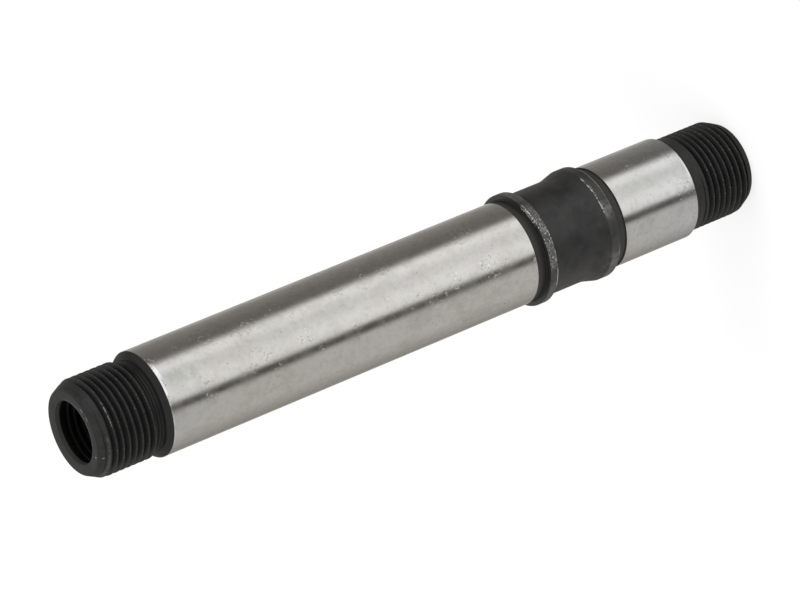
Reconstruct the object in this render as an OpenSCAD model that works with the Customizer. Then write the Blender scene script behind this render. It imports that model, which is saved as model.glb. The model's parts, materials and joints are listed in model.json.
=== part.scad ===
// Rear hub axle for a bicycle wheel: one bar of steel, turned, threaded, blackened and then
// ground on its two bearing seats, with a bore right through that is tapped at both ends.
// It stands on its drive-side end face. The axis is Z, and that face's centre is the origin.
// The stations below follow one another up the axle, from the drive side to the other side.

/* [Drive-side stub] */
// Outside diameter of the threads on both stubs
thread_d = 13.9; // [13.2:0.1:14.6]
// Length of the drive-side stub, from its end face to the bearing seat
drive_stub_len = 11.1; // [8:0.05:16]
// Length of the lead chamfer at each end
lead_len = 1.9; // [0.8:0.1:2.4]
// Depth of the lead chamfer, measured on the radius
lead_depth = 0.95; // [0.5:0.05:1.1]
// Rounding of the edge between an end face and its lead chamfer
nose_r = 0.3; // [0.1:0.05:0.5]

/* [Bearing seats] */
// Diameter of the two ground bearing seats
seat_d = 15; // [14.9:0.05:15.6]
// Length of the drive-side seat
drive_seat_len = 13.05; // [9:0.05:18]
// Length of the main seat
main_seat_len = 60.7; // [45:0.05:80]
// Break of the ground edges, where a seat meets a groove or the drive-side stub
edge_break = 0.1; // [0.05:0.01:0.15]

/* [Grinding grooves] */
// Width of the groove where the grinding wheel runs out, beside each seat
groove_len = 1.6; // [1.2:0.05:2.5]
// Diameter at the floor of these grooves
groove_d = 14.6; // [14:0.05:14.7]
// Radius of the corner between a groove's floor and the shoulder that stops the bearing
corner_r = 0.3; // [0.1:0.05:0.4]

/* [Land and waist] */
// Diameter of the cylindrical land beside the drive-side seat
land_d = 16.4; // [16:0.1:18]
// Length of the land
land_len = 1.45; // [0.6:0.05:4]
// Length of the flare, from the edge of the land down to the waist
flare_len = 3.05; // [2:0.05:5]
// Radius of the hollow curve at the foot of the flare
flare_r = 4.7; // [1:0.1:8]
// Diameter of the waist between the land and the collar
waist_d = 15.1; // [14.5:0.05:15.6]
// Length of the waist
waist_len = 6.5; // [4:0.05:12]
// Radius of the fillet where the waist meets the collar
waist_fillet_r = 0.3; // [0.1:0.05:0.4]

/* [Collar] */
// Diameter of the collar that stops the main bearings
collar_d = 16.4; // [16:0.1:18]
// Thickness of the collar
collar_len = 1.25; // [1:0.05:3]
// Rounding of the rims of the collar and of the land's lower edge
rim_r = 0.12; // [0.05:0.01:0.3]

/* [Far-side stub] */
// Length of the chamfer that leads down from the main seat
shoulder_len = 0.8; // [0.5:0.05:1.5]
// Diameter where this chamfer meets the relief groove
neck_d = 13.8; // [12.8:0.1:14.2]
// Width of the relief groove behind the thread
relief_len = 1.4; // [0.8:0.05:2]
// Diameter at the floor of the relief groove
relief_d = 12.6; // [12:0.1:12.7]
// Length of the slope at each side of the relief groove
relief_slope_len = 0.2; // [0.1:0.05:0.35]
// Length of the far-side thread, with its lead chamfer
far_thread_len = 8.8; // [6:0.05:14]

/* [Bore] */
// Diameter of the tapping-drill hole in each end, for an M10 x 1 thread
tapping_d = 9; // [8.8:0.05:9.2]
// Depth of the full diameter of each tapping-drill hole
tapping_depth = 28; // [18:0.5:36]
// Angle of the drill point, across the cone
drill_point = 118; // [90:1:140]
// Diameter of the hole through the middle
middle_d = 8.5; // [6:0.1:8.6]
// Countersink at each mouth, measured on the radius and along the axis
mouth_break = 0.1; // [0.05:0.05:0.5]

/* [Hidden] */
$fn = 144;
arc_steps = 6;
past = 1; // how far a cutter runs past the face that it leaves by

thread_r = thread_d / 2;
seat_r = seat_d / 2;
groove_r = groove_d / 2;
land_r = land_d / 2;
waist_r = waist_d / 2;
collar_r = collar_d / 2;
neck_r = neck_d / 2;
relief_r = relief_d / 2;
tapping_r = tapping_d / 2;
middle_r = middle_d / 2;

// Heights of the stations
drive_seat_z = drive_stub_len;
drive_groove_z = drive_seat_z + drive_seat_len;
land_z = drive_groove_z + groove_len;
flare_z = land_z + land_len;
waist_z = flare_z + flare_len;
collar_z = waist_z + waist_len;
main_groove_z = collar_z + collar_len;
main_seat_z = main_groove_z + groove_len;
shoulder_z = main_seat_z + main_seat_len;
relief_z = shoulder_z + shoulder_len;
far_thread_z = relief_z + relief_len;
top_z = far_thread_z + far_thread_len;

// The rounded edge of an end face: how far the outline turns there, and the rounding's
// centre, which is this far in from the crest of the thread
nose_turn = atan2(lead_len, lead_depth);
nose_in = lead_depth + nose_r * tan(nose_turn / 2);

// The flare is a slope from the land's edge that runs into a hollow curve. The curve meets
// the waist level, and its radius stays below the one that would leave no slope. Its centre
// is hollow_out further from the axis than the land's edge
flare_drop = land_r - waist_r;
full_r = (flare_len * flare_len + flare_drop * flare_drop) / (2 * flare_drop);
hollow_r = min(flare_r, 0.95 * full_r);
hollow_out = hollow_r - flare_drop;
hollow_turn = atan2(flare_len, hollow_out) - acos(hollow_r / norm([hollow_out, flare_len]));

// The fillet at the collar's foot takes no more than half of the collar's wall
foot_r = min(waist_fillet_r, (collar_r - waist_r) / 2);

// Height of the cone between a tapping-drill hole and the middle hole
point_len = (tapping_r - middle_r) / tan(drill_point / 2);

// Points of an arc round the centre (r, z), from angle a0 to a1
function arc(r, z, radius, a0, a1) =
    [for (i = [0:arc_steps])
        let (a = a0 + (a1 - a0) * i / arc_steps)
            [r + radius * cos(a), z + radius * sin(a)]];

// The chamfered stub up to the ground edge of the drive-side seat
function drive_stub() = concat(
    [[0, 0]],
    arc(thread_r - nose_in, nose_r, nose_r, -90, nose_turn - 90),
    [[thread_r, lead_len], [thread_r, drive_seat_z]]
);

// The drive-side seat, with both of its ground edges broken
function drive_seat() = [
    [seat_r - edge_break, drive_seat_z],
    [seat_r, drive_seat_z + edge_break],
    [seat_r, drive_groove_z - edge_break],
    [seat_r - edge_break, drive_groove_z]
];

// The groove under the land: a square side at the seat and a rounded corner at the shoulder
function drive_groove() = concat(
    [[groove_r, drive_groove_z]],
    arc(groove_r + corner_r, land_z - corner_r, corner_r, 180, 90)
);

// The land with its rounded lower rim and its upper edge, and the flare down to the waist
function land_and_flare() = concat(
    arc(land_r - rim_r, land_z + rim_r, rim_r, -90, 0),
    [[land_r, flare_z]],
    arc(waist_r + hollow_r, waist_z, hollow_r, 180 + hollow_turn, 180)
);

// The foot of the collar, its two rounded rims and its upper face
function collar() = concat(
    arc(waist_r + foot_r, collar_z - foot_r, foot_r, 180, 90),
    arc(collar_r - rim_r, collar_z + rim_r, rim_r, -90, 0),
    arc(collar_r - rim_r, main_groove_z - rim_r, rim_r, 0, 90)
);

// The groove over the collar: a rounded corner at the shoulder and a square side at the seat
function main_groove() = concat(
    arc(groove_r + corner_r, main_groove_z + corner_r, corner_r, 270, 180),
    [[groove_r, main_seat_z]]
);

// The main seat, which ends where the shoulder chamfer begins
function main_seat() = [
    [seat_r - edge_break, main_seat_z],
    [seat_r, main_seat_z + edge_break],
    [seat_r, shoulder_z]
];

// The shoulder chamfer, the relief groove and the far-side thread up to the end face
function far_stub() = concat(
    [
        [neck_r, relief_z],
        [relief_r, relief_z + relief_slope_len],
        [relief_r, far_thread_z - relief_slope_len],
        [thread_r, far_thread_z],
        [thread_r, top_z - lead_len]
    ],
    arc(thread_r - nose_in, top_z - nose_r, nose_r, 90 - nose_turn, 90),
    [[0, top_z]]
);

// Half of the axle's lengthwise section, without its bore
module outline() {
    polygon(concat(
        drive_stub(),
        drive_seat(),
        drive_groove(),
        land_and_flare(),
        collar(),
        main_groove(),
        main_seat(),
        far_stub()
    ));
}

// Half of the lengthwise section of one tapped end, seen from its mouth at z = 0
module tapped_end() {
    mouth_r = tapping_r + mouth_break;
    polygon([
        [0, -past],
        [mouth_r, -past],
        [mouth_r, 0],
        [tapping_r, mouth_break],
        [tapping_r, tapping_depth],
        [middle_r, tapping_depth + point_len],
        [0, tapping_depth + point_len]
    ]);
}

module bore() {
    rotate_extrude() tapped_end();
    translate([0, 0, top_z]) mirror([0, 0, 1]) rotate_extrude() tapped_end();
    translate([0, 0, tapping_depth]) cylinder(r = middle_r, h = top_z - 2 * tapping_depth);
}

module axle() {
    color("dimgray")
    difference() {
        rotate_extrude() outline();
        bore();
    }
}

axle();
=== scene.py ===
"""Looks of a rear hub axle: a turned bar with ground bearing seats and black threaded ends.

The axle stands on its drive-side end face, with its axis on Z. Sizes are in millimetres in the
classes below, and MM turns them into the metres of the frame. The overall length, the seats, the
threads and the tapped holes are read from the frame. The sizes between them are fields of Axle.
"""

import json
import logging
import math
from dataclasses import dataclass
from enum import Enum
from typing import Callable, Sequence

import bmesh
import bpy
from mathutils import Matrix, Vector


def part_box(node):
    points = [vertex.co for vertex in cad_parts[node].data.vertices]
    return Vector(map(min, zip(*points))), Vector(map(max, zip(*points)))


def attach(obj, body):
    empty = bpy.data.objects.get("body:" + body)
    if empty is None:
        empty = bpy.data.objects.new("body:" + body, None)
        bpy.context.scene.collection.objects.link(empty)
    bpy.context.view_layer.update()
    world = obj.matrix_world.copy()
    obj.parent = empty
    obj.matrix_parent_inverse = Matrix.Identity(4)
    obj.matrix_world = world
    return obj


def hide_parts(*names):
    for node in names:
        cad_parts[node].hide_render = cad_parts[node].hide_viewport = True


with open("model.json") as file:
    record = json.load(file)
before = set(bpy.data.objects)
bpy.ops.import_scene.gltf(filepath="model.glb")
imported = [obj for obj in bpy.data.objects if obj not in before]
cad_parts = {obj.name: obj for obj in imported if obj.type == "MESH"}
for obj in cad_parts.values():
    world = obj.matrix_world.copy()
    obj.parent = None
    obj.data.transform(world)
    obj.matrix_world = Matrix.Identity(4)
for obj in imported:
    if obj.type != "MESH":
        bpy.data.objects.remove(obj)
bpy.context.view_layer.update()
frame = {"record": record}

MM = 0.001
# Points of a section that lie closer together than this, in mm, are one point
TOUCHING = 0.001
log = logging.getLogger("axle")

Colour = tuple[float, float, float]
Wire = bpy.types.NodeSocket | float | Sequence[float]


class Finish(Enum):
    """The axle's finishes, in the order of its material slots."""

    BLACK_OXIDE = 0
    GROUND_STEEL = 1
    THREAD_BLACK = 2


# Modelling steps


def deselect_all() -> None:
    """Leaves object mode with nothing selected."""
    if bpy.context.mode != "OBJECT":
        bpy.ops.object.mode_set(mode="OBJECT")
    bpy.ops.object.select_all(action="DESELECT")


def take_up(piece: bpy.types.Object) -> None:
    """Selects one piece alone and makes it the active one.

    Args:
        piece: The object to work on.
    """
    deselect_all()
    piece.select_set(True)
    bpy.context.view_layer.objects.active = piece


def select_faces(piece: bpy.types.Object, wanted: Callable[[Vector, Vector], bool]) -> None:
    """Selects the faces of the piece in edit mode by their place and direction.

    Args:
        piece: The object, in edit mode.
        wanted: Says from a face's centre and normal whether it is selected.
    """
    bpy.ops.mesh.select_mode(type="FACE")
    bpy.ops.mesh.select_all(action="DESELECT")
    mesh = bmesh.from_edit_mesh(piece.data)
    for face in mesh.faces:
        face.select = wanted(face.calc_center_median(), face.normal)
    bmesh.update_edit_mesh(piece.data)


def radius_of(point: Vector) -> float:
    """Distance of a point from the axle's axis, in millimetres."""
    return math.hypot(point.x, point.y) / MM


def apply_modifier(piece: bpy.types.Object, name: str) -> None:
    """Applies one modifier of the piece.

    Args:
        piece: The object that has the modifier.
        name: The modifier's name.
    """
    take_up(piece)
    bpy.ops.object.modifier_apply(modifier=name)


# The lengthwise section


@dataclass(frozen=True)
class Corner:
    """One corner of the section: radius and height in mm, and the radius it is rounded to."""

    radius: float
    height: float
    rounding: float = 0.0

    @property
    def point(self) -> Vector:
        """The corner as a point of the section."""
        return Vector((self.radius, self.height))


def rounded(before: Corner, corner: Corner, after: Corner, step: float) -> list[Vector]:
    """Rounds one corner of the section.

    Args:
        before: The corner before it.
        corner: The corner to round.
        after: The corner after it.
        step: The largest turn between two points of the arc, in radians.

    Returns:
        The points that stand for the corner, in order.
    """
    if corner.rounding <= 0:
        return [corner.point]
    arriving = (corner.point - before.point).normalized()
    leaving = (after.point - corner.point).normalized()
    turn = math.atan2(arriving.x * leaving.y - arriving.y * leaving.x, arriving.dot(leaving))
    start = corner.point - arriving * corner.rounding * math.tan(abs(turn) / 2)
    inward = Vector((-arriving.y, arriving.x)) * math.copysign(1, turn)
    centre = start + inward * corner.rounding
    pieces = max(2, math.ceil(abs(turn) / step))
    return [
        centre + Matrix.Rotation(turn * i / pieces, 2) @ (start - centre)
        for i in range(pieces + 1)
    ]


def section_points(corners: Sequence[Corner], step: float) -> list[Vector]:
    """Follows a closed section round its corners.

    Args:
        corners: The corners in order; the last one joins the first.
        step: The largest turn between two points of an arc, in radians.

    Returns:
        The section's points, as radius and height in mm.
    """
    befores = [corners[-1], *corners[:-1]]
    afters = [*corners[1:], corners[0]]
    points: list[Vector] = []
    for before, corner, after in zip(befores, corners, afters):
        for point in rounded(before, corner, after, step):
            if not points or (point - points[-1]).length > TOUCHING:
                points.append(point)
    return points


def turn_section(name: str, points: Sequence[Vector], sides: int) -> bpy.types.Object:
    """Turns a closed section into a ring-shaped solid, one ring of edges after another.

    Args:
        name: The new object's name.
        points: The section's points, as radius and height in mm.
        sides: How many flats stand for the full turn.

    Returns:
        The closed solid.
    """
    deselect_all()
    first = points[0]
    bpy.ops.mesh.primitive_circle_add(
        vertices=sides, radius=first.x * MM, location=(0, 0, first.y * MM)
    )
    blank = bpy.context.object
    blank.name = name
    bpy.ops.object.transform_apply(location=True, rotation=True, scale=True)
    bpy.ops.object.mode_set(mode="EDIT")
    bpy.ops.mesh.select_mode(type="EDGE")
    bpy.ops.mesh.select_all(action="SELECT")
    for last, point in zip(points, points[1:]):
        rise = (point.y - last.y) * MM
        bpy.ops.mesh.extrude_edges_move(TRANSFORM_OT_translate={"value": (0, 0, rise)})
        growth = point.x / last.x
        bpy.ops.transform.resize(
            value=(growth, growth, 1), center_override=(0, 0, point.y * MM)
        )
    bpy.ops.mesh.select_all(action="DESELECT")
    bpy.ops.mesh.select_non_manifold()
    bpy.ops.mesh.bridge_edge_loops()
    bpy.ops.mesh.select_all(action="SELECT")
    bpy.ops.mesh.normals_make_consistent(inside=False)
    bpy.ops.object.mode_set(mode="OBJECT")
    return blank


# Threads


@dataclass(frozen=True)
class Thread:
    """A right-hand vee thread, cut by one groove that climbs round the axis. Sizes are in mm.

    The groove_height is a height at which the groove passes +X.
    """

    name: str
    crest_radius: float
    root_radius: float
    first_height: float
    last_height: float
    groove_height: float
    pitch: float = 1.0
    root_flat: float = 0.14
    flank_angle: float = 30.0
    clearance: float = 0.08
    runout_turns: float = 0.0
    steps_per_turn: int = 96

    @property
    def mouth_radius(self) -> float:
        """Radius of the cutter's open side, just clear of the crests."""
        return self.crest_radius + math.copysign(
            self.clearance, self.crest_radius - self.root_radius
        )

    @property
    def reach(self) -> float:
        """Depth of the cutter, from its open side to the root."""
        return abs(self.mouth_radius - self.root_radius)

    @property
    def mouth_width(self) -> float:
        """Width of the cutter at its open side."""
        return self.root_flat + 2 * self.reach * math.tan(math.radians(self.flank_angle))

    @property
    def turns(self) -> float:
        """How many turns the full-depth groove makes."""
        return (self.last_height - self.first_height) / self.pitch

    def azimuth_at(self, height: float) -> float:
        """Angle about the axis at which the groove passes a height, in radians from +X."""
        return math.tau * (height - self.groove_height) / self.pitch

    def cutter(self) -> bpy.types.Object:
        """Makes the solid that cuts the groove.

        Returns:
            The closed cutter, in place.
        """
        cutter = self._section()
        self._sweep(cutter)
        if self.runout_turns:
            self._run_out(cutter)
        return cutter

    def _section(self) -> bpy.types.Object:
        """Makes the groove's section as one face in the XZ plane, narrow at the root."""
        deselect_all()
        bpy.ops.mesh.primitive_plane_add(size=1, rotation=(math.pi / 2, 0, 0))
        cutter = bpy.context.object
        cutter.name = self.name
        bpy.ops.object.transform_apply(location=True, rotation=True, scale=True)
        middle = (self.mouth_radius + self.root_radius) / 2
        outward = self.root_radius > middle
        bpy.ops.object.mode_set(mode="EDIT")
        bpy.ops.mesh.select_all(action="SELECT")
        bpy.ops.transform.resize(
            value=(self.reach * MM, 1, self.mouth_width * MM), center_override=(0, 0, 0)
        )
        bpy.ops.transform.translate(value=(middle * MM, 0, self.first_height * MM))
        mesh = bmesh.from_edit_mesh(cutter.data)
        bpy.ops.mesh.select_mode(type="VERT")
        bpy.ops.mesh.select_all(action="DESELECT")
        for vertex in mesh.verts:
            vertex.select = (vertex.co.x > middle * MM) == outward
        bmesh.update_edit_mesh(cutter.data)
        bpy.ops.transform.resize(
            value=(1, 1, self.root_flat / self.mouth_width),
            center_override=(0, 0, self.first_height * MM),
        )
        bpy.ops.object.mode_set(mode="OBJECT")
        return cutter

    def _sweep(self, cutter: bpy.types.Object) -> None:
        """Winds the section up the axis, turns it to its place and closes its ends."""
        winding = cutter.modifiers.new("winding", "SCREW")
        winding.axis = "Z"
        winding.angle = math.tau * self.turns
        winding.screw_offset = (self.last_height - self.first_height) * MM
        winding.iterations = 1
        winding.steps = winding.render_steps = round(self.steps_per_turn * self.turns)
        apply_modifier(cutter, "winding")
        cutter.rotation_euler = (0, 0, self.azimuth_at(self.first_height))
        bpy.ops.object.transform_apply(location=True, rotation=True, scale=True)
        bpy.ops.object.mode_set(mode="EDIT")
        bpy.ops.mesh.select_mode(type="EDGE")
        bpy.ops.mesh.select_all(action="DESELECT")
        bpy.ops.mesh.select_non_manifold()
        bpy.ops.mesh.fill_holes(sides=0)
        bpy.ops.mesh.select_all(action="SELECT")
        bpy.ops.mesh.normals_make_consistent(inside=False)
        bpy.ops.object.mode_set(mode="OBJECT")

    def _run_out(self, cutter: bpy.types.Object) -> None:
        """Winds the cutter's upper end on, out of the work, so that the groove fades away."""
        end_azimuth = self.azimuth_at(self.last_height)
        forward = Vector((-math.sin(end_azimuth), math.cos(end_azimuth), 0))
        slack, facing = 0.01, 0.9
        highest = (self.last_height - slack) * MM

        def is_end(at: Vector, normal: Vector) -> bool:
            """Says whether a face is the flat end of the winding."""
            on_end = at.z > highest and abs(at.dot(forward)) < slack * MM
            return on_end and normal.dot(forward) > facing

        steps = round(self.steps_per_turn * self.runout_turns)
        turn = math.tau * self.runout_turns / steps
        rise = self.pitch * self.runout_turns / steps
        lift = (self.mouth_radius - self.root_radius) / steps
        take_up(cutter)
        bpy.ops.object.mode_set(mode="EDIT")
        select_faces(cutter, is_end)
        for step in range(1, steps + 1):
            azimuth = end_azimuth + turn * step
            bpy.ops.mesh.extrude_region_move(
                TRANSFORM_OT_translate={"value": (0, 0, rise * MM)}
            )
            # With no window, this operator turns the other way
            bpy.ops.transform.rotate(
                value=-turn, orient_axis="Z", center_override=(0, 0, 0)
            )
            bpy.ops.transform.translate(
                value=(lift * math.cos(azimuth) * MM, lift * math.sin(azimuth) * MM, 0)
            )
        bpy.ops.object.mode_set(mode="OBJECT")


def cut_thread(work: bpy.types.Object, thread: Thread) -> None:
    """Cuts a thread into the work and puts the cutter away.

    Args:
        work: The solid to cut.
        thread: The thread.
    """
    cutter = thread.cutter()
    cut = work.modifiers.new("cut", "BOOLEAN")
    cut.operation = "DIFFERENCE"
    cut.solver = "EXACT"
    cut.object = cutter
    apply_modifier(work, "cut")
    bpy.data.objects.remove(cutter)
    log.info("cut %s: the work has %d faces", thread.name, len(work.data.polygons))


# Node building


@dataclass(frozen=True)
class Ramp:
    """A smooth change from at_low to at_high, while what it follows goes from low to high."""

    low: float
    high: float
    at_low: float = 0.0
    at_high: float = 1.0


class Graph:
    """A node tree that is filled in from left to right."""

    def __init__(self, tree: bpy.types.NodeTree) -> None:
        """Starts on a tree.

        Args:
            tree: The node tree to add to.
        """
        self.tree = tree

    def node(
        self, kind: str, inputs: dict[str | int, Wire] | None = None, **settings: object
    ) -> bpy.types.Node:
        """Adds a node.

        Args:
            kind: The node's type, without the ShaderNode in front.
            inputs: What feeds each input: another node's output, or a plain value.
            settings: Properties of the node.

        Returns:
            The new node.
        """
        made = self.tree.nodes.new(f"ShaderNode{kind}")
        made.location = (180 * len(self.tree.nodes), 0)
        for name, value in settings.items():
            setattr(made, name, value)
        for key, value in (inputs or {}).items():
            self.feed(made.inputs[key], value)
        return made

    def feed(self, socket: bpy.types.NodeSocket, value: Wire) -> None:
        """Links an output to an input, or sets the input's own value.

        Args:
            socket: The input.
            value: The output, number or vector that it gets.
        """
        if isinstance(value, bpy.types.NodeSocket):
            self.tree.links.new(value, socket)
        elif hasattr(value, "__len__") and socket.type == "RGBA":
            socket.default_value = (*value, 1)[:4]
        else:
            socket.default_value = value

    def math(self, operation: str, *values: Wire) -> bpy.types.NodeSocket:
        """Adds a Math node and returns its output."""
        return self.node("Math", dict(enumerate(values)), operation=operation).outputs[0]

    def multiply(self, first: Wire, second: Wire) -> bpy.types.NodeSocket:
        """Multiplies two values."""
        return self.math("MULTIPLY", first, second)

    def azimuth(self, x: Wire, y: Wire) -> bpy.types.NodeSocket:
        """Angle of a direction about the axis, in radians from -Y."""
        return self.math("ARCTAN2", self.multiply(x, -1.0), self.multiply(y, -1.0))

    def smooth(
        self, value: Wire, low: Wire, high: Wire, at_low: Wire = 0.0, at_high: Wire = 1.0
    ) -> bpy.types.NodeSocket:
        """Blends smoothly from at_low to at_high as a value goes from low to high."""
        wires = {
            "Value": value, "From Min": low, "From Max": high,
            "To Min": at_low, "To Max": at_high,
        }
        return self.node("MapRange", wires, interpolation_type="SMOOTHSTEP").outputs[0]

    def ramp(self, value: Wire, ramp: Ramp) -> bpy.types.NodeSocket:
        """Follows a value with a ramp."""
        return self.smooth(value, ramp.low, ramp.high, ramp.at_low, ramp.at_high)

    def mix(self, share: Wire, first: Wire, second: Wire) -> bpy.types.NodeSocket:
        """Mixes two colours and returns the result."""
        return self.node("Mix", {0: share, 6: first, 7: second}, data_type="RGBA").outputs[2]

    def noise(
        self, vector: Wire, scale: Wire, detail: float = 2.0, roughness: float = 0.5
    ) -> bpy.types.NodeSocket:
        """Adds a noise texture and returns its value."""
        wires = {"Vector": vector, "Scale": scale, "Detail": detail, "Roughness": roughness}
        return self.node("TexNoise", wires).outputs["Fac"]

    def bump(self, depth: float, height: Wire, normal: Wire | None = None) -> bpy.types.NodeSocket:
        """Bends a normal by a height that is this deep, in mm, and returns it."""
        wires = {"Strength": 1.0, "Distance": depth * MM, "Height": height}
        if normal is not None:
            wires["Normal"] = normal
        return self.node("Bump", wires).outputs[0]

    def use(
        self, group: bpy.types.NodeTree, inputs: dict[str | int, Wire] | None = None
    ) -> bpy.types.Node:
        """Places a node group and feeds it."""
        return self.node("Group", inputs, node_tree=group)


def new_material(name: str) -> tuple[bpy.types.Material, Graph, bpy.types.Node]:
    """Starts a material.

    Args:
        name: The material's name.

    Returns:
        The material, the graph to fill in, and its Principled BSDF.
    """
    made = bpy.data.materials.new(name)
    made.use_nodes = True
    return made, Graph(made.node_tree), made.node_tree.nodes["Principled BSDF"]


def new_group(
    name: str, inputs: dict[str, float | None], outputs: dict[str, str]
) -> tuple[Graph, bpy.types.Node, bpy.types.Node]:
    """Starts a shader node group.

    Args:
        name: The group's name.
        inputs: Each input's plain value, or None where it is a vector.
        outputs: Each output's kind, Float or Vector.

    Returns:
        The graph to fill in, and its input and output nodes.
    """
    tree = bpy.data.node_groups.new(name, "ShaderNodeTree")
    for key, value in inputs.items():
        kind = "NodeSocketVector" if value is None else "NodeSocketFloat"
        socket = tree.interface.new_socket(name=key, in_out="INPUT", socket_type=kind)
        if value is not None:
            socket.default_value = value
    for key, kind in outputs.items():
        tree.interface.new_socket(name=key, in_out="OUTPUT", socket_type=f"NodeSocket{kind}")
    graph = Graph(tree)
    return graph, tree.nodes.new("NodeGroupInput"), tree.nodes.new("NodeGroupOutput")


@dataclass(frozen=True)
class Span:
    """A round wall of the axle: its radius, and its lower and upper end, in mm."""

    radius: float
    low: float
    high: float

    @classmethod
    def of_mount(cls, record: dict, name: str) -> "Span":
        """Reads a round mount of the record.

        Args:
            record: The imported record.
            name: The mount's name.

        Returns:
            The wall that the mount names.
        """
        mount = next(m for m in record["mounts"] if m["name"] == name)
        middle = mount["pos_m"][2] / MM
        half = mount["dims"]["length_mm"] / 2
        return cls(mount["dims"]["r_mm"], middle - half, middle + half)


class WearAndPaintedLight(Enum):
    """The colours of the patches: what handling leaves on steel, and painted glints, sheen and
    shade.
    """

    # Bare steel where rubbed; the same colour, laid faintly on the waist's two sides, is a painted
    # sheen
    BARE = (0.45, 0.44, 0.42)
    SHINY = (0.85, 0.84, 0.82)
    # A painted glint: near-white where an edge of a seat catches the light
    BURNISHED = (0.97, 0.97, 0.96)
    STAINED = (0.53, 0.555, 0.48)
    DUSTY = (0.45, 0.43, 0.38)
    # Soot in grainy patches on the waist, and painted shade in the corner at the collar's upper
    # face
    SOOTY = (0.006, 0.0055, 0.005)


@dataclass(frozen=True)
class Patch:
    """A patch of colour: a rubbed or stained stretch, or a painted glint, sheen or shade. Heights,
    radii and grain are in mm, azimuths in degrees.

    It lies between low and high, start and stop, and inner and outer. Fade and taper soften its
    ends in height and in azimuth. It shows where a noise of its grain is over the threshold,
    with edges that its contrast softens, and covers what is below it by its share.
    """

    low: float
    high: float
    share: float
    grain: float
    threshold: float = 0.5
    contrast: float = 0.1
    start: float = -200.0
    stop: float = 200.0
    fade: float = 0.05
    taper: float = 4.0
    inner: float = 0.0
    outer: float = 50.0
    colour: WearAndPaintedLight = WearAndPaintedLight.BARE

    @classmethod
    def even(cls, low: float, high: float, share: float, **limits: float | WearAndPaintedLight) -> "Patch":
        """Makes an unbroken stretch, with no grain in it."""
        return cls(low, high, share, grain=3.0, threshold=0.0, contrast=0.05, **limits)


@dataclass(frozen=True)
class Flecks:
    """Small marks: their size in mm, the noise level that makes one, and how soft it ends."""

    size: float
    threshold: float
    edge: float


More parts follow.
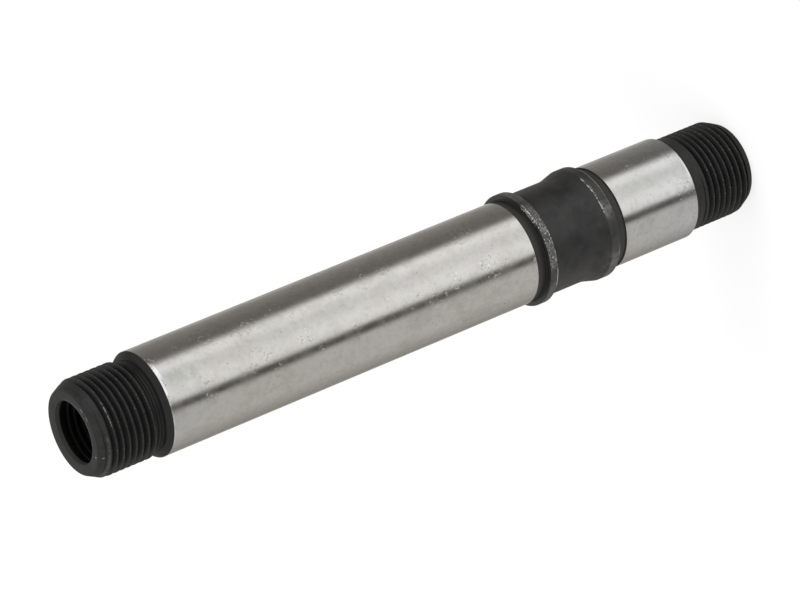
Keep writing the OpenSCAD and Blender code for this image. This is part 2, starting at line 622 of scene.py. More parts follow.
class ShopMarks:
    """The node groups that the finishes share: place on the bar, windows, marks, and patches of
    rubbed steel and of painted light.
    """

    def __init__(self) -> None:
        """Builds each group once."""
        self.place = self._place()
        self.window = self._window()
        self.tool_marks = self._tool_marks()
        self.specks = self._specks()
        self.rub = self._patch()

    def _place(self) -> bpy.types.NodeTree:
        """Where a point is: radius, height and position in mm, azimuth in degrees from -Y."""
        graph, _, out = new_group(
            "place_on_bar",
            {},
            {"Radius": "Float", "Height": "Float", "Azimuth": "Float", "Position": "Vector"},
        )
        at = graph.node("TexCoord").outputs["Object"]
        position = graph.node(
            "VectorMath", {0: at, "Scale": 1 / MM}, operation="SCALE"
        ).outputs[0]
        x, y, z = graph.node("SeparateXYZ", {0: position}).outputs
        squares = graph.math("ADD", graph.math("POWER", x, 2.0), graph.math("POWER", y, 2.0))
        graph.feed(out.inputs["Radius"], graph.math("SQRT", squares))
        graph.feed(out.inputs["Height"], z)
        graph.feed(out.inputs["Azimuth"], graph.math("DEGREES", graph.azimuth(x, y)))
        graph.feed(out.inputs["Position"], position)
        return graph.tree

    def _window(self) -> bpy.types.NodeTree:
        """A mask that is 1 between Low and High, with soft edges."""
        graph, given, out = new_group(
            "window", {"Value": 0.0, "Low": 0.0, "High": 1.0, "Edge": 0.1}, {"Mask": "Float"}
        )
        value, low, high, edge = given.outputs[:4]
        rise = graph.smooth(value, graph.math("SUBTRACT", low, edge), graph.math("ADD", low, edge))
        fall = graph.smooth(
            value, graph.math("SUBTRACT", high, edge), graph.math("ADD", high, edge), 1.0, 0.0
        )
        graph.feed(out.inputs["Mask"], graph.multiply(rise, fall))
        return graph.tree

    def _tool_marks(self) -> bpy.types.NodeTree:
        """The fine rings that a turning tool or a grinding wheel leaves round the bar."""
        graph, given, out = new_group(
            "tool_marks", {"Rings": 6.0, "Waver": 0.25}, {"Height": "Float"}
        )
        place = graph.use(self.place).outputs
        x, y, _ = graph.node("SeparateXYZ", {0: place["Position"]}).outputs
        # The radius counts too, so that the rings also show on faces across the axis
        along = graph.math("MULTIPLY_ADD", place["Radius"], 1.37, place["Height"])
        vector = graph.node(
            "CombineXYZ",
            {
                0: graph.multiply(x, given.outputs["Waver"]),
                1: graph.multiply(y, given.outputs["Waver"]),
                2: graph.multiply(along, given.outputs["Rings"]),
            },
        ).outputs[0]
        graph.feed(out.inputs["Height"], graph.noise(vector, 1.0, detail=3.0, roughness=0.6))
        return graph.tree

    def _specks(self) -> bpy.types.NodeTree:
        """Irregular specks: a share of the surface, at a given size in mm."""
        graph, given, out = new_group(
            "specks",
            {"Vector": None, "Size": 0.3, "Threshold": 0.6, "Edge": 0.05},
            {"Mask": "Float"},
        )
        vector, size, threshold, edge = given.outputs[:4]
        value = graph.noise(vector, graph.math("DIVIDE", 1.0, size), detail=3.0, roughness=0.6)
        low, high = (graph.math(side, threshold, edge) for side in ("SUBTRACT", "ADD"))
        graph.feed(out.inputs["Mask"], graph.smooth(value, low, high))
        return graph.tree

    def _patch(self) -> bpy.types.NodeTree:
        """A patch: a window in height and in azimuth, broken up into specks, for rubbed stretches
        and painted glints, sheen and shade alike.
        """
        graph, given, out = new_group(
            "rub",
            {
                "Low": 0.0, "High": 1.0, "Fade": 0.05, "From": -180.0, "To": 180.0,
                "Taper": 4.0, "Grain": 0.3, "Threshold": 0.5, "Contrast": 0.1,
            },
            {"Mask": "Float"},
        )
        low, high, fade, start, stop, taper, grain, threshold, contrast = given.outputs[:9]
        place = graph.use(self.place).outputs
        inside = graph.multiply(
            self.between(graph, place["Height"], low, high, fade),
            self.between(graph, place["Azimuth"], start, stop, taper),
        )
        specks = {
            "Vector": place["Position"], "Size": grain, "Threshold": threshold, "Edge": contrast,
        }
        broken = graph.multiply(inside, graph.use(self.specks, specks).outputs[0])
        graph.feed(out.inputs["Mask"], broken)
        return graph.tree

    def between(
        self, graph: Graph, value: Wire, low: Wire, high: Wire, edge: Wire
    ) -> bpy.types.NodeSocket:
        """Places the window group and returns its mask."""
        wires = {"Value": value, "Low": low, "High": high, "Edge": edge}
        return graph.use(self.window, wires).outputs[0]

    def scatter(self, graph: Graph, flecks: Flecks) -> bpy.types.NodeSocket:
        """Scatters flecks all over the piece and returns their mask."""
        wires = {
            "Vector": graph.use(self.place).outputs["Position"],
            "Size": flecks.size, "Threshold": flecks.threshold, "Edge": flecks.edge,
        }
        return graph.use(self.specks, wires).outputs[0]

    def rings(self, graph: Graph, density: float, waver: float) -> bpy.types.NodeSocket:
        """Places the tool marks and returns their height."""
        return graph.use(self.tool_marks, {"Rings": density, "Waver": waver}).outputs[0]

    def lay_over(self, graph: Graph, patches: Sequence[Patch], colour: Wire) -> tuple[Wire, Wire]:
        """Lays patches over a colour, one after another: rubbed and stained stretches, and painted
        glints, sheen and shade.

        Args:
            graph: The material's graph.
            patches: The patches, rubbed marks and painted light alike.
            colour: The colour below them.

        Returns:
            The colour with the stretches, and how far they cover it, from 0 to 1.
        """
        radius = graph.use(self.place).outputs["Radius"]
        soft_edge = 0.02
        covered: Wire = 0.0
        for rub in patches:
            mask = graph.use(
                self.rub,
                {
                    "Low": rub.low, "High": rub.high, "Fade": rub.fade,
                    "From": rub.start, "To": rub.stop, "Taper": rub.taper,
                    "Grain": rub.grain, "Threshold": rub.threshold, "Contrast": rub.contrast,
                },
            ).outputs[0]
            ring = self.between(graph, radius, rub.inner, rub.outer, soft_edge)
            share = graph.multiply(graph.multiply(mask, ring), rub.share)
            colour = graph.mix(share, colour, rub.colour.value)
            covered = graph.math("MAXIMUM", share, covered)
        return colour, covered


# Finishes


@dataclass(frozen=True)
class GroundSteel:
    """Bright steel off a cylindrical grinding wheel, lightly handled.

    Depths and heights are in mm, and the scales of the noises are per mm. The ramps that cool
    the colour, stain_above and knocked_heights run up the axle, and the others follow a noise.
    The knocked azimuths are the first, the last and the softness of both, in degrees.
    """

    marks: ShopMarks
    patches: tuple[Patch, ...]
    colour: Colour = (0.722, 0.714, 0.692)
    blush: Colour = (0.722, 0.697, 0.683)
    cool: Colour = (0.715, 0.721, 0.75)
    stain: Colour = (0.50, 0.485, 0.45)
    pit: Colour = (0.24, 0.23, 0.20)
    nick: Colour = (0.97, 0.97, 0.95)
    hue_scale: float = 0.22
    blushing: Ramp = Ramp(0.45, 0.65)
    cool_below: Ramp = Ramp(8.0, 30.0, 1.0, 0.0)
    cool_above: Ramp = Ramp(92.0, 101.0, 0.0, 0.7)
    stain_above: Ramp = Ramp(45.0, 95.0, 0.0, 0.14)
    cloud_scale: float = 0.35
    clouding: Ramp = Ramp(0.45, 0.75, 0.0, 0.3)
    grain_scale: float = 1.1
    mottling: Ramp = Ramp(0.45, 0.7, 0.0, 0.34)
    ring_stain: Ramp = Ramp(0.3, 0.7, 0.0, 0.12)
    nicks: Flecks = Flecks(0.32, 0.65, 0.04)
    stained_dents: Flecks = Flecks(0.4, 0.63, 0.03)
    dent_stain: float = 0.55
    pits: Flecks = Flecks(0.55, 0.725, 0.012)
    dents: Flecks = Flecks(0.5, 0.62, 0.05)
    dent_depth: float = 0.014
    cluster_scale: float = 0.33
    clusters: Ramp = Ramp(0.5, 0.62)
    knocked_heights: Ramp = Ramp(20.0, 40.0, 0.4, 1.0)
    knocked_azimuths: tuple[float, float, float] = (-8.0, 11.0, 6.0)
    ring_density: float = 9.0
    ring_waver: float = 0.3
    ring_depth: float = 0.0006
    ripple_scales: tuple[float, float, float] = (0.7, 0.7, 0.12)
    ripple_depth: float = 0.006
    roughness: Ramp = Ramp(0.3, 0.75, 0.15, 0.25)

    def _cluster(self, graph: Graph) -> bpy.types.NodeSocket:
        """Where the tiny dents and nicks stand close together."""
        position = graph.use(self.marks.place).outputs["Position"]
        return graph.ramp(graph.noise(position, self.cluster_scale), self.clusters)

    def _colour(self, graph: Graph, cloud: Wire, rings: Wire) -> bpy.types.NodeSocket:
        """Mixes the steel's colour: soft stains, faint rings, stained patches, painted glints on
        the seat edges, nicks and a few pits.

        Args:
            graph: The material's graph.
            cloud: A broad, soft noise.
            rings: The grinding rings.

        Returns:
            The base colour.
        """
        place = graph.use(self.marks.place).outputs
        hue = graph.noise(place["Position"], self.hue_scale)
        grain = graph.noise(place["Position"], self.grain_scale, detail=4.0, roughness=0.65)
        tint = graph.mix(graph.ramp(hue, self.blushing), self.colour, self.blush)
        below = graph.ramp(place["Height"], self.cool_below)
        above = graph.ramp(place["Height"], self.cool_above)
        steel = graph.mix(graph.math("ADD", below, above), tint, self.cool)
        for value, ramp in (
            (place["Height"], self.stain_above),
            (cloud, self.clouding),
            (grain, self.mottling),
            (rings, self.ring_stain),
        ):
            steel = graph.mix(graph.ramp(value, ramp), steel, self.stain)
        steel, _ = self.marks.lay_over(graph, self.patches, steel)
        front = self.marks.between(graph, place["Azimuth"], *self.knocked_azimuths)
        knocked = graph.multiply(front, graph.ramp(place["Height"], self.knocked_heights))
        clustered = graph.multiply(self._cluster(graph), knocked)
        nicks = graph.multiply(self.marks.scatter(graph, self.nicks), clustered)
        steel = graph.mix(nicks, steel, self.nick)
        dents = graph.multiply(self.marks.scatter(graph, self.stained_dents), clustered)
        steel = graph.mix(graph.multiply(dents, self.dent_stain), steel, self.pit)
        return graph.mix(self.marks.scatter(graph, self.pits), steel, self.pit)

    def _surface(self, graph: Graph, rings: Wire) -> bpy.types.NodeSocket:
        """Shapes the surface: grinding rings, clusters of tiny dents, a long soft ripple.

        Args:
            graph: The material's graph.
            rings: The grinding rings.

        Returns:
            The normal.
        """
        position = graph.use(self.marks.place).outputs["Position"]
        dents = graph.multiply(self.marks.scatter(graph, self.dents), self._cluster(graph))
        along = graph.node("Mapping", {"Vector": position, "Scale": self.ripple_scales}).outputs[0]
        ringed = graph.bump(self.ring_depth, rings)
        dented = graph.bump(-self.dent_depth, dents, ringed)
        return graph.bump(self.ripple_depth, graph.noise(along, 1.0), dented)

    def material(self) -> bpy.types.Material:
        """Builds the material.

        Returns:
            The material, ready for a slot.
        """
        made, graph, shader = new_material("ground_steel")
        shader.inputs["Metallic"].default_value = 1.0
        position = graph.use(self.marks.place).outputs["Position"]
        rings = self.marks.rings(graph, self.ring_density, self.ring_waver)
        cloud = graph.noise(position, self.cloud_scale, detail=4.0, roughness=0.6)
        graph.feed(shader.inputs["Base Color"], self._colour(graph, cloud, rings))
        graph.feed(shader.inputs["Roughness"], graph.ramp(cloud, self.roughness))
        graph.feed(shader.inputs["Normal"], self._surface(graph, rings))
        return made


@dataclass(frozen=True)
class BlackOxide:
    """Chemically blackened steel, rubbed grey where it stands proud, and in places with painted
    sheen and painted shade laid on as patches.

    Where a bore is named, its wall is darkened between its ends, for its oil and as painted shade
    in the dim hole. The bore_edge says how dark it is by the distance in mm beyond the bore's
    radius, and bore_fade softens the ends.
    """

    marks: ShopMarks
    name: str
    patches: tuple[Patch, ...]
    colour: Colour = (0.0140, 0.0142, 0.0152)
    tone: Colour = (0.0185, 0.0180, 0.0165)
    cloud_scale: float = 0.3
    clouding: Ramp = Ramp(0.4, 0.7)
    roughness: Ramp = Ramp(0.3, 0.7, 0.39, 0.49)
    patch_roughness: float = 0.36
    patch_metal: float = 0.85
    gloss: float = 0.5
    ring_density: float = 5.0
    ring_waver: float = 0.2
    ring_depth: float = 0.003
    bore: Span | None = None
    bore_edge: Ramp = Ramp(0.05, 0.15, 0.9, 0.0)
    bore_fade: float = 0.15

    def _paint_bore_shade(self, graph: Graph, black: Wire) -> bpy.types.NodeSocket:
        """Paints shade into the bore's wall: darkens it towards black, for the oil on it and as
        painted shade in the dim hole.
        """
        place = graph.use(self.marks.place).outputs
        beyond = graph.math("SUBTRACT", place["Radius"], self.bore.radius)
        inside = graph.ramp(beyond, self.bore_edge)
        deep = self.marks.between(
            graph, place["Height"], self.bore.low, self.bore.high, self.bore_fade
        )
        return graph.mix(graph.multiply(inside, deep), black, (0, 0, 0))

    def material(self) -> bpy.types.Material:
        """Builds the material.

        Returns:
            The material, ready for a slot.
        """
        made, graph, shader = new_material(self.name)
        shader.inputs["Specular IOR Level"].default_value = self.gloss
        position = graph.use(self.marks.place).outputs["Position"]
        rings = self.marks.rings(graph, self.ring_density, self.ring_waver)
        cloud = graph.noise(position, self.cloud_scale, detail=4.0, roughness=0.6)
        black = graph.mix(graph.ramp(cloud, self.clouding), self.colour, self.tone)
        if self.bore:
            black = self._paint_bore_shade(graph, black)
        # The patches bring rubbed grey, and in places painted sheen and painted shade; where they
        # lie, the finish turns more metallic and smoother
        colour, patched = self.marks.lay_over(graph, self.patches, black)
        graph.feed(shader.inputs["Base Color"], colour)
        graph.feed(shader.inputs["Metallic"], graph.multiply(patched, self.patch_metal))
        satin = graph.ramp(cloud, self.roughness)
        rough = graph.smooth(patched, 0.0, 1.0, satin, self.patch_roughness)
        graph.feed(shader.inputs["Roughness"], rough)
        graph.feed(shader.inputs["Normal"], graph.bump(self.ring_depth, rings))
        return made


# The axle


@dataclass(frozen=True)
class Axle:
    """The whole axle, one turned bar. Sizes are in mm."""

    length: float
    main_seat: Span
    drive_seat: Span
    drive_thread: Span
    far_thread: Span
    drive_hole: Span
    far_hole: Span
    lead_depth: float = 0.95
    lead_round: float = 0.3
    edge_break: float = 0.1
    groove_radius: float = 7.3
    groove_corner: float = 0.3
    groove_width: float = 1.6
    land_radius: float = 8.2
    land_length: float = 1.45
    flare_length: float = 3.05
    flare_hollow: float = 4.7
    waist_radius: float = 7.55
    collar_radius: float = 8.2
    collar_length: float = 1.25
    collar_foot: float = 0.3
    rim_round: float = 0.12
    shoulder_length: float = 0.8
    neck_radius: float = 6.9
    relief_radius: float = 6.3
    relief_slope: float = 0.2
    # The tool left steps on its way down to the relief groove's floor: how many step heights
    # each one stands over the floor, and where it starts and ends above the shoulder
    relief_step: float = 0.13
    relief_steps: tuple[tuple[int, float, float], ...] = ((2, 0.08, 0.45), (1, 0.52, 0.86))
    relief_floor: float = 0.95
    middle_hole_radius: float = 4.25
    point_angle: float = 118.0
    mouth_break: float = 0.1
    mouth_round: float = 0.1
    root_depth: float = 0.61
    nut_root_radius: float = 5.0
    lip_depth: float = 0.8
    sides: int = 192
    arc_step: float = math.radians(12)
    sharp_angle: float = math.radians(28)

    @classmethod
    def from_frame(cls, record: dict) -> "Axle":
        """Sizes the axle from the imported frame.

        Args:
            record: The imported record.

        Returns:
            The axle, not yet built.
        """
        low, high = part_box("axle")
        return cls(
            length=(high.z - low.z) / MM,
            main_seat=Span.of_mount(record, "main_seat"),
            drive_seat=Span.of_mount(record, "drive_seat"),
            drive_thread=Span.of_mount(record, "drive_thread"),
            far_thread=Span.of_mount(record, "far_thread"),
            drive_hole=Span.of_mount(record, "drive_bolt_hole"),
            far_hole=Span.of_mount(record, "far_bolt_hole"),
        )

    @property
    def groove_low(self) -> float:
        """Height of the lower side of the groove under the land."""
        return self.drive_seat.high + self.edge_break

    @property
    def land_low(self) -> float:
        """Height of the land's lower edge."""
        return self.groove_low + self.groove_width

    @property
    def land_high(self) -> float:
        """Height of the land's upper edge, where the flare begins."""
        return self.land_low + self.land_length

    @property
    def collar_high(self) -> float:
        """Height of the collar's upper face, where the main groove begins."""
        return self.main_seat.low - self.edge_break - self.groove_width

    @property
    def collar_low(self) -> float:
        """Height of the collar's lower face."""
        return self.collar_high - self.collar_length

    def _drive_side(self) -> list[Corner]:
        """The outside from the drive-side end face up to the groove under the land."""
        crest = self.drive_thread.radius
        seat = self.drive_seat
        cut = self.edge_break
        return [
            Corner(crest - self.lead_depth, 0, self.lead_round),
            Corner(crest, self.drive_thread.low),
            Corner(crest, self.drive_thread.high),
            Corner(seat.radius - cut, seat.low - cut),
            Corner(seat.radius, seat.low),
            Corner(seat.radius, seat.high),
            Corner(seat.radius - cut, self.groove_low),
            Corner(self.groove_radius, self.groove_low),
            Corner(self.groove_radius, self.land_low, self.groove_corner),
        ]

    def _land_to_collar(self) -> list[Corner]:
        """The outside of the land, the flare, the waist and the collar."""
        drop = self.land_radius - self.waist_radius
        waist_low = self.land_high + self.flare_length
        out = self.flare_hollow - drop
        slope = math.atan2(self.flare_length, out) - math.acos(
            self.flare_hollow / math.hypot(out, self.flare_length)
        )
        reach = self.flare_hollow * math.tan(slope / 2)
        return [
            Corner(self.land_radius, self.land_low, self.rim_round),
            Corner(self.land_radius, self.land_high),
            Corner(self.waist_radius, waist_low - reach, self.flare_hollow),
            Corner(self.waist_radius, self.collar_low, self.collar_foot),
            Corner(self.collar_radius, self.collar_low, self.rim_round),
            Corner(self.collar_radius, self.collar_high, self.rim_round),
        ]

    def _far_side(self) -> list[Corner]:
        """The outside from the main groove up to the other end face."""
        crest = self.far_thread.radius
        seat = self.main_seat
        cut = self.edge_break
        shoulder_high = seat.high + self.shoulder_length
        steps = [
            Corner(self.relief_radius + count * self.relief_step, shoulder_high + height)
            for count, *heights in self.relief_steps
            for height in heights
        ]
        return [
            Corner(self.groove_radius, self.collar_high, self.groove_corner),
            Corner(self.groove_radius, seat.low - cut),
            Corner(seat.radius - cut, seat.low - cut),
            Corner(seat.radius, seat.low),
            Corner(seat.radius, seat.high),
            Corner(self.neck_radius, shoulder_high),
            *steps,
            Corner(self.relief_radius, shoulder_high + self.relief_floor),
            Corner(self.relief_radius, self.far_thread.low - self.relief_slope),
            Corner(crest, self.far_thread.low),
            Corner(crest, self.far_thread.high),
            Corner(crest - self.lead_depth, self.length, self.lead_round),
        ]

    def _bore(self) -> list[Corner]:
        """The inside, from the upper mouth down to the lower one."""
        far, drive = self.far_hole, self.drive_hole
        point = (far.radius - self.middle_hole_radius) / math.tan(
            math.radians(self.point_angle / 2)
        )
        return [
            Corner(far.radius + self.mouth_break, self.length, self.mouth_round),
            Corner(far.radius, far.high, self.mouth_round),
            Corner(far.radius, far.low),
            Corner(self.middle_hole_radius, far.low - point),
            Corner(self.middle_hole_radius, drive.high + point),
            Corner(drive.radius, drive.high),
            Corner(drive.radius, drive.low, self.mouth_round),
            Corner(drive.radius + self.mouth_break, 0, self.mouth_round),
        ]

    def _threads(self) -> list[Thread]:
        """The two outside threads and the two tapped ones.

        The outside cutters run past the end faces, and the far one starts in the relief groove.
        The taps leave a plain lip at the mouths and stop short of the drill points.
        """
        past, lead_in, drive_end = 0.7, 0.45, 8.85
        drive_lip, far_lip, tap_room = 0.7, self.lip_depth + 0.9, 3.0
        outside = {
            "crest_radius": self.far_thread.radius,
            "root_radius": self.far_thread.radius - self.root_depth,
        }
        inside = {
            "crest_radius": self.far_hole.radius,
            "root_radius": self.nut_root_radius,
            "steps_per_turn": 72,
        }
        return [
            Thread(
                "far_thread", **outside, groove_height=106.7,
                first_height=self.far_thread.low - lead_in, last_height=self.length + past,
            ),
            Thread(
                "drive_thread", **outside, groove_height=6.6,
                first_height=-past, last_height=drive_end, runout_turns=0.6,
            ),
            Thread(
                "far_tapping", **inside, groove_height=0.3,
                first_height=self.far_hole.low + tap_room,
                last_height=self.length - far_lip, runout_turns=0.5,
            ),
            Thread(
                "drive_tapping", **inside, groove_height=0.1,
                first_height=drive_lip, last_height=self.drive_hole.high - tap_room,
            ),
        ]

    def _finish_of(self, centre: Vector) -> Finish:
        """Names the finish of a face.

        Args:
            centre: The face's centre, in metres.

        Returns:
            The finish: ground on the seats, plain black on the threaded stubs, in the grooves
            and in the bore, and rubbed black on the land, the flare, the waist and the collar.
        """
        height = centre.z / MM
        radius = radius_of(centre)
        on_span = any(
            span.low - self.edge_break < height < span.high
            for span in (self.main_seat, self.drive_seat)
        )
        if radius > self.drive_seat.radius - self.edge_break and on_span:
            return Finish.GROUND_STEEL
        if self.land_low < height < self.collar_high and radius > self.groove_radius:
            return Finish.BLACK_OXIDE
        return Finish.THREAD_BLACK

    def build(self) -> bpy.types.Object:
        """Turns the bar and cuts its threads.

        Returns:
            The axle's mesh object, at the origin.
        """
        corners = self._drive_side() + self._land_to_collar() + self._far_side() + self._bore()
        bar = turn_section("axle_body", section_points(corners, self.arc_step), self.sides)
        log.info("turned %s: %d faces", bar.name, len(bar.data.polygons))
        for thread in self._threads():
            cut_thread(bar, thread)
        return bar

    def dress(self, bar: bpy.types.Object) -> None:
        """Gives the bar its finishes and its shading.

        Args:
            bar: The axle's object.
        """
        marks = ShopMarks()
        # The bore's wall is darkened for the oil on it and as painted shade in the dim hole
        bore = Span(self.nut_root_radius, self.lip_depth, self.length - self.lip_depth)
        finishes = {
            Finish.BLACK_OXIDE: BlackOxide(marks, "black_oxide", self._middle_wear_and_sheen()),
            Finish.GROUND_STEEL: GroundSteel(marks, self._seat_stains_and_glints()),
            Finish.THREAD_BLACK: BlackOxide(
                marks, "thread_black", self._end_wear_and_shade(),
                colour=(0.0078, 0.0079, 0.0082), tone=(0.0105, 0.0104, 0.0096),
                roughness=Ramp(0.3, 0.7, 0.41, 0.51), gloss=0.27, bore=bore,
            ),
        }
        bar.data.materials.clear()
        for finish in Finish:
            bar.data.materials.append(finishes[finish].material())
        take_up(bar)
        bpy.ops.object.mode_set(mode="EDIT")
        for finish in Finish:
            select_faces(bar, lambda centre, _: self._finish_of(centre) is finish)
            bar.active_material_index = finish.value
            bpy.ops.object.material_slot_assign()
        bpy.ops.object.mode_set(mode="OBJECT")
        bpy.ops.object.shade_smooth_by_angle(angle=self.sharp_angle)

    # The plain numbers of a Patch are, in order: low, high, share, grain, threshold, contrast,
    # start, stop, fade, taper, inner and outer

    def _seat_stains_and_glints(self) -> tuple[Patch, ...]:
        """What marks the seats: pale stains, and painted glints along the far edge of the main
        seat and the lower edge of the drive seat.
        """
        top, foot = self.main_seat.high, self.drive_seat.low - 0.1
        glint, stained = WearAndPaintedLight.BURNISHED, WearAndPaintedLight.STAINED
        return (
            # Painted glints: near-white lines where the far edge of the main seat catches the
            # light
            Patch(top - 0.6, top + 0.1, 0.9, 2.0, 0.3, 0.1, -38, -17, 0.15, 3, colour=glint),
            Patch(top - 0.3, top + 0.1, 0.9, 2.0, 0.3, 0.1, -19, 1, 0.08, 3, colour=glint),
            Patch(top - 0.2, top + 0.1, 0.5, 1.0, 0.4, 0.2, 8, 80, 0.06, colour=glint),
            Patch(top - 5.5, top - 1.2, 0.6, 1.6, 0.44, 0.05, -22, -4, 0.5, colour=stained),
            Patch(42, 54, 0.35, 3.0, 0.5, 0.03, 30, 60, 1.0, colour=stained),
            Patch(foot, 23, 0.25, 4.0, 0.3, 0.1, -24, -9, 1.0, 6, colour=stained),
            # A painted glint on the lower edge of the drive seat
            Patch(foot, foot + 0.35, 0.7, 1.0, 0.35, 0.1, -22, -3, 0.06, colour=glint),
        )

    def _middle_wear_and_sheen(self) -> tuple[Patch, ...]:
        """Where the land and the collar are rubbed: their rims, and patches between them; soot on
        the waist, and a painted sheen on the waist's two sides.
        """
        proud = self.collar_radius - 0.06
        low, high = self.collar_low, self.collar_high
        foot, edge = self.land_low, self.land_high
        shiny = WearAndPaintedLight.SHINY
        return (
            Patch(low, high, 0.06, 1.2, 0.4, 0.2, inner=proud),
            Patch(low, high, 0.07, 1.2, 0.3, 0.2, 48, 100, inner=proud),
            Patch(low, high, 0.19, 0.2, 0.5, 0.05, -39, -3, inner=proud),
            Patch(low, high, 0.27, 0.2, 0.51, 0.05, 3, 31, inner=proud),
            Patch(low, high, 0.7, 0.26, 0.62, 0.03, -22, 30, inner=proud, colour=shiny),
            Patch(low, high, 0.08, 1.2, 0.3, 0.2, -75, -48, inner=proud),
            Patch(high - 0.12, high + 0.05, 0.7, 0.25, 0.52, 0.05, -40, -18, colour=shiny),
            Patch(low - 0.05, low + 0.12, 0.85, 0.3, 0.5, 0.05, -10, 20, colour=shiny),
            Patch(low - 0.05, low + 0.14, 0.9, 1.5, 0.35, 0.1, 32, 53, colour=shiny),
            Patch(foot, edge, 0.035, 1.2, 0.4, 0.2, inner=proud),
            Patch(foot, edge + 1.2, 0.05, 1.1, 0.5, 0.07, 40, 95, 0.5, 10),
            Patch(foot, foot + 0.1, 0.5, 0.8, 0.35, 0.1, -58, -25, colour=shiny),
            Patch(foot, edge, 0.18, 0.7, 0.46, 0.08, -11, 4, inner=proud, taper=5),
            Patch(foot, edge, 0.10, 1.5, 0.3, 0.2, 42, 95, inner=proud, taper=3),
            Patch(edge - 0.08, edge + 0.1, 0.5, 0.35, 0.5, 0.06, -44, -2, colour=shiny),
            # Painted sheen: an even, faint lightening of the waist's two sides
            Patch(edge + 2.0, low, 0.02, 4.0, 0.2, 0.1, 50, 140, 0.8, 12),
            Patch(edge + 2.0, low, 0.02, 4.0, 0.2, 0.1, -140, -58, 0.8, 12),
            Patch(edge - 0.35, edge + 0.1, 0.22, 0.2, 0.6, 0.03, -46, 4, 0.1, colour=shiny),
            Patch(edge + 0.4, low - 0.5, 0.02, 0.8, 0.66, 0.03, fade=0.5),
            Patch(edge + 0.1, low, 0.2, 2.2, 0.54, 0.1, colour=WearAndPaintedLight.SOOTY),
            Patch(edge + 1.5, edge + 2.5, 0.02, 0.5, 0.45, 0.1, -23, -18, 0.3, 2),
            Patch(foot, foot + 0.12, 0.35, 0.6, 0.45, 0.08, -60, 3),
            Patch(foot, foot + 0.3, 0.5, 0.25, 0.58, 0.05, 34, 46),
        )

    def _end_wear_and_shade(self) -> tuple[Patch, ...]:
        """What marks the ends and grooves: rubbed crests, lead chamfers and mouth, dust, and
        painted shade in the corner at the collar's upper face.
        """
        crest = self.far_thread.radius - 0.05
        mouth = self.far_hole.radius
        top = self.length
        face = (top - 0.2, top + 0.2)
        drive_high = self.drive_thread.high
        far_low, far_high = self.far_thread.low, self.far_thread.high
        first = far_high - 0.3
        groove = {"inner": self.groove_radius - 0.1, "outer": self.groove_radius + 0.15}
        fillet = {"inner": self.groove_radius - 0.1, "outer": self.collar_radius - 0.2}
        return (
            Patch(1.0, drive_high + 0.2, 0.03, 0.5, 0.35, 0.2, inner=crest),
            Patch(1.0, drive_high - 2.6, 0.4, 0.2, 0.65, 0.03, inner=crest),
            Patch(far_low, top, 0.03, 0.5, 0.35, 0.2, inner=crest),
            Patch(far_low, top, 0.4, 0.2, 0.66, 0.03, inner=crest),
            Patch(first - 0.12, first + 0.18, 0.45, 0.35, 0.48, 0.06, -18, 14, inner=crest),
            Patch(first + 0.7, first + 1.0, 0.07, 0.8, 0.4, 0.1, 20, 90, inner=crest - 0.5),
            Patch(first + 0.5, first + 1.6, 0.012, 2.0, 0.3, 0.1, -40, -12, 0.2, 8, crest - 1.0),
            Patch(far_high + 0.2, top, 0.02, 1.2, 0.4, 0.2, inner=mouth + 1.5),
            Patch(*face, 0.06, 0.5, 0.42, 0.1, -70, 30, 0.05, 12, mouth, mouth + 0.4),
            Patch.even(*face, 0.25, start=-28, stop=-22, taper=2, inner=5.25, outer=5.5),
            Patch.even(*face, 0.2, start=-13, stop=-7, taper=2, inner=5.3, outer=5.6),
            Patch.even(*face, 0.8, start=47.5, stop=49.5, taper=0.5, inner=5.4, outer=5.6),
            Patch.even(
                top - 0.75, top - 0.5, 0.35, start=45.5, stop=47.2, fade=0.02, taper=0.5,
                inner=6.15, outer=6.45,
            ),
            Patch.even(
                top - self.lip_depth, top + 0.1, 0.09, inner=mouth - 0.2, outer=mouth + 0.06
            ),
            Patch.even(
                self.collar_high + 0.7, self.main_seat.low + 0.4, 0.055, fade=0.7, **groove,
                colour=WearAndPaintedLight.DUSTY,
            ),
            Patch.even(
                self.groove_low, self.land_low, 0.06, fade=0.1, **groove, colour=WearAndPaintedLight.DUSTY
            ),
            # Painted shade: a near-black band in the corner at the collar's upper face
            Patch.even(
                self.collar_high, self.collar_high + 0.2, 0.35, fade=0.1, **fillet,
                colour=WearAndPaintedLight.SOOTY,
            ),
        )


# Stage, light and camera


@dataclass(frozen=True)
class Stop:
    """How bright the room is, as the steel sees it, in one direction."""

    azimuth: float
    level: float


@dataclass(frozen=True)
class Lamp:
    """A square soft lamp. Its place and its size are in metres, its power in watts."""

    name: str
    place: tuple[float, float, float]
    size: float
    power: float

    def hang(self, aim: Vector) -> None:
        """Hangs the lamp.

        Args:
            aim: The point that it faces, in metres.
        """
        deselect_all()
        bpy.ops.object.light_add(type="AREA", location=self.place)
        lamp = bpy.context.object
        lamp.name = self.name
        lamp.data.size = self.size
        lamp.data.energy = self.power
        lamp.rotation_euler = (aim - Vector(self.place)).to_track_quat("-Z", "Y").to_euler()
        lamp.visible_glossy = False


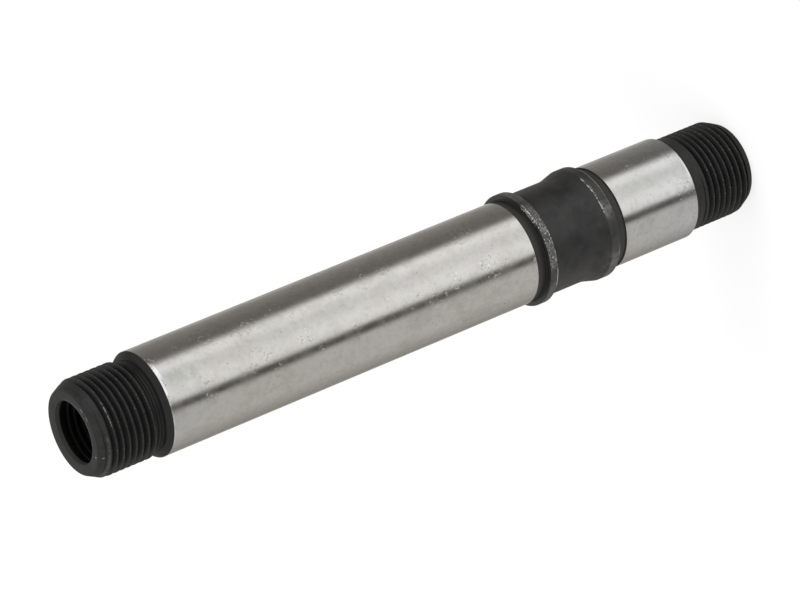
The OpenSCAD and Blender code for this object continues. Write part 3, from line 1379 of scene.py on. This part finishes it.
@dataclass(frozen=True)
class Studio:
    """A pale table in a white room, with reflectors round it and two soft lamps above."""

    walls: tuple[Stop, ...] = (
        Stop(-180, 0.50), Stop(-170, 0.50), Stop(-162, 0.48), Stop(-154, 0.45),
        Stop(-146, 0.375), Stop(-138, 0.30), Stop(-122, 0.25), Stop(-98, 0.182),
        Stop(-80, 0.155), Stop(-75, 0.21), Stop(-62, 0.98), Stop(-52, 1.02),
        Stop(-34, 0.81), Stop(-24, 0.85), Stop(-4, 0.99), Stop(6, 0.97), Stop(16, 0.89),
        Stop(20, 0.70), Stop(24, 0.20), Stop(27, 0.085), Stop(35, 0.085), Stop(40, 0.40),
        Stop(45, 0.57), Stop(95, 0.57), Stop(118, 0.455), Stop(142, 0.34), Stop(152, 0.29),
        Stop(158, 0.32), Stop(166, 0.45), Stop(174, 0.54), Stop(180, 0.50),
    )
    lamps: tuple[Lamp, ...] = (
        Lamp("key", (0.75, -0.35, 0.95), 0.7, 5.5),
        Lamp("fill", (-0.6, -0.6, 0.7), 0.8, 4.5),
    )
    aim: tuple[float, float, float] = (0, 0, 0.055)
    bright: Colour = (1.0, 1.0, 0.985)
    shaded: Colour = (1.0, 0.965, 0.89)
    shading: Ramp = Ramp(0.2, 0.9)
    ceiling: Colour = (0.8, 0.8, 0.8)
    ceiling_rise: Ramp = Ramp(0.1, 0.5)
    table: Colour = (0.82, 0.82, 0.82)
    table_radius: float = 2.5
    table_sides: int = 96
    table_glow: float = 1.06
    glow_share: float = 0.72

    def build(self) -> None:
        """Sets up the table, the room and the lamps."""
        self._table()
        self._room()
        for lamp in self.lamps:
            lamp.hang(Vector(self.aim))

    def _table(self) -> None:
        """Lays the table top, which the camera sees as white apart from the soft shadow."""
        deselect_all()
        bpy.ops.mesh.primitive_circle_add(
            vertices=self.table_sides, radius=self.table_radius, fill_type="NGON"
        )
        table = bpy.context.object
        table.name = "table_top"
        made, graph, shader = new_material("white_table")
        graph.tree.nodes.remove(shader)
        paper = graph.node("BsdfDiffuse", {"Color": self.table})
        glow = graph.node("Emission", {"Color": (1, 1, 1), "Strength": self.table_glow})
        seen = graph.node("LightPath").outputs["Is Camera Ray"]
        share = graph.multiply(seen, self.glow_share)
        cover = graph.node("MixShader", {0: share, 1: paper.outputs[0], 2: glow.outputs[0]})
        graph.feed(graph.tree.nodes["Material Output"].inputs["Surface"], cover.outputs[0])
        table.data.materials.append(made)
        table.visible_glossy = False

    def _room(self) -> None:
        """Paints the room: white to the camera, and the walls' levels to everything else."""
        world = bpy.data.worlds.new("studio")
        bpy.context.scene.world = world
        world.use_nodes = True
        graph = Graph(world.node_tree)
        way = graph.node("TexCoord").outputs["Generated"]
        x, y, z = graph.node("SeparateXYZ", {0: way}).outputs
        turn = graph.node(
            "MapRange",
            {"Value": graph.azimuth(x, y), "From Min": -math.pi, "From Max": math.pi},
        ).outputs[0]
        ramp = graph.node("ValToRGB", {0: turn})
        self._fill_ramp(ramp.color_ramp)
        level = ramp.outputs[0]
        tint = graph.mix(graph.ramp(level, self.shading), self.shaded, self.bright)
        wall = graph.node("VectorMath", {0: level, 1: tint}, operation="MULTIPLY").outputs[0]
        room = graph.mix(graph.ramp(z, self.ceiling_rise), wall, self.ceiling)
        seen = graph.node("LightPath").outputs["Is Camera Ray"]
        background = graph.tree.nodes["Background"]
        graph.feed(background.inputs["Color"], graph.mix(seen, room, (1, 1, 1)))

    def _fill_ramp(self, ramp: bpy.types.ColorRamp) -> None:
        """Writes the walls' levels into a colour ramp that runs once round the room.

        Args:
            ramp: The ramp, from azimuth -180 to +180 degrees.
        """
        while len(ramp.elements) > 1:
            ramp.elements.remove(ramp.elements[-1])
        for stop in self.walls:
            place = (stop.azimuth + 180) / 360
            element = ramp.elements[0] if place == 0 else ramp.elements.new(place)
            element.color = (stop.level, stop.level, stop.level, 1)


@dataclass(frozen=True)
class PhotoCamera:
    """The photo's camera: looking down on the upper end, rolled so that the axle lies across."""

    lens: float = 207.084
    sensor: float = 36.0
    shift: tuple[float, float] = (-0.000625, 0.000625)
    near: float = 0.05
    place: tuple[float, float, float] = (0.0, -0.546808, 0.36995)
    right: tuple[float, float, float] = (-0.381507, -0.458258, -0.802778)
    up: tuple[float, float, float] = (0.924366, -0.18865, -0.331601)

    def build(self) -> None:
        """Sets the camera up as the scene's own."""
        camera = bpy.data.cameras.new("photo_camera")
        camera.lens = self.lens
        camera.sensor_width = self.sensor
        camera.sensor_fit = "HORIZONTAL"
        camera.shift_x, camera.shift_y = self.shift
        camera.clip_start = self.near
        holder = bpy.data.objects.new("photo_camera", camera)
        bpy.context.scene.collection.objects.link(holder)
        right = Vector(self.right).normalized()
        back = right.cross(Vector(self.up)).normalized()
        turned = Matrix((right, back.cross(right), back)).transposed()
        holder.matrix_world = Matrix.Translation(self.place) @ turned.to_4x4()
        bpy.context.scene.camera = holder


def main() -> None:
    """Builds the scene: camera, axle, studio."""
    logging.basicConfig(level=logging.INFO, format="%(name)s: %(message)s")
    bpy.context.scene.view_settings.view_transform = "Standard"
    PhotoCamera().build()
    axle = Axle.from_frame(frame["record"])
    bar = axle.build()
    axle.dress(bar)
    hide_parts("axle")
    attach(bar, "root")
    log.info("dressed %s: %d faces", bar.name, len(bar.data.polygons))
    Studio().build()


if __name__ == "__main__":
    main()
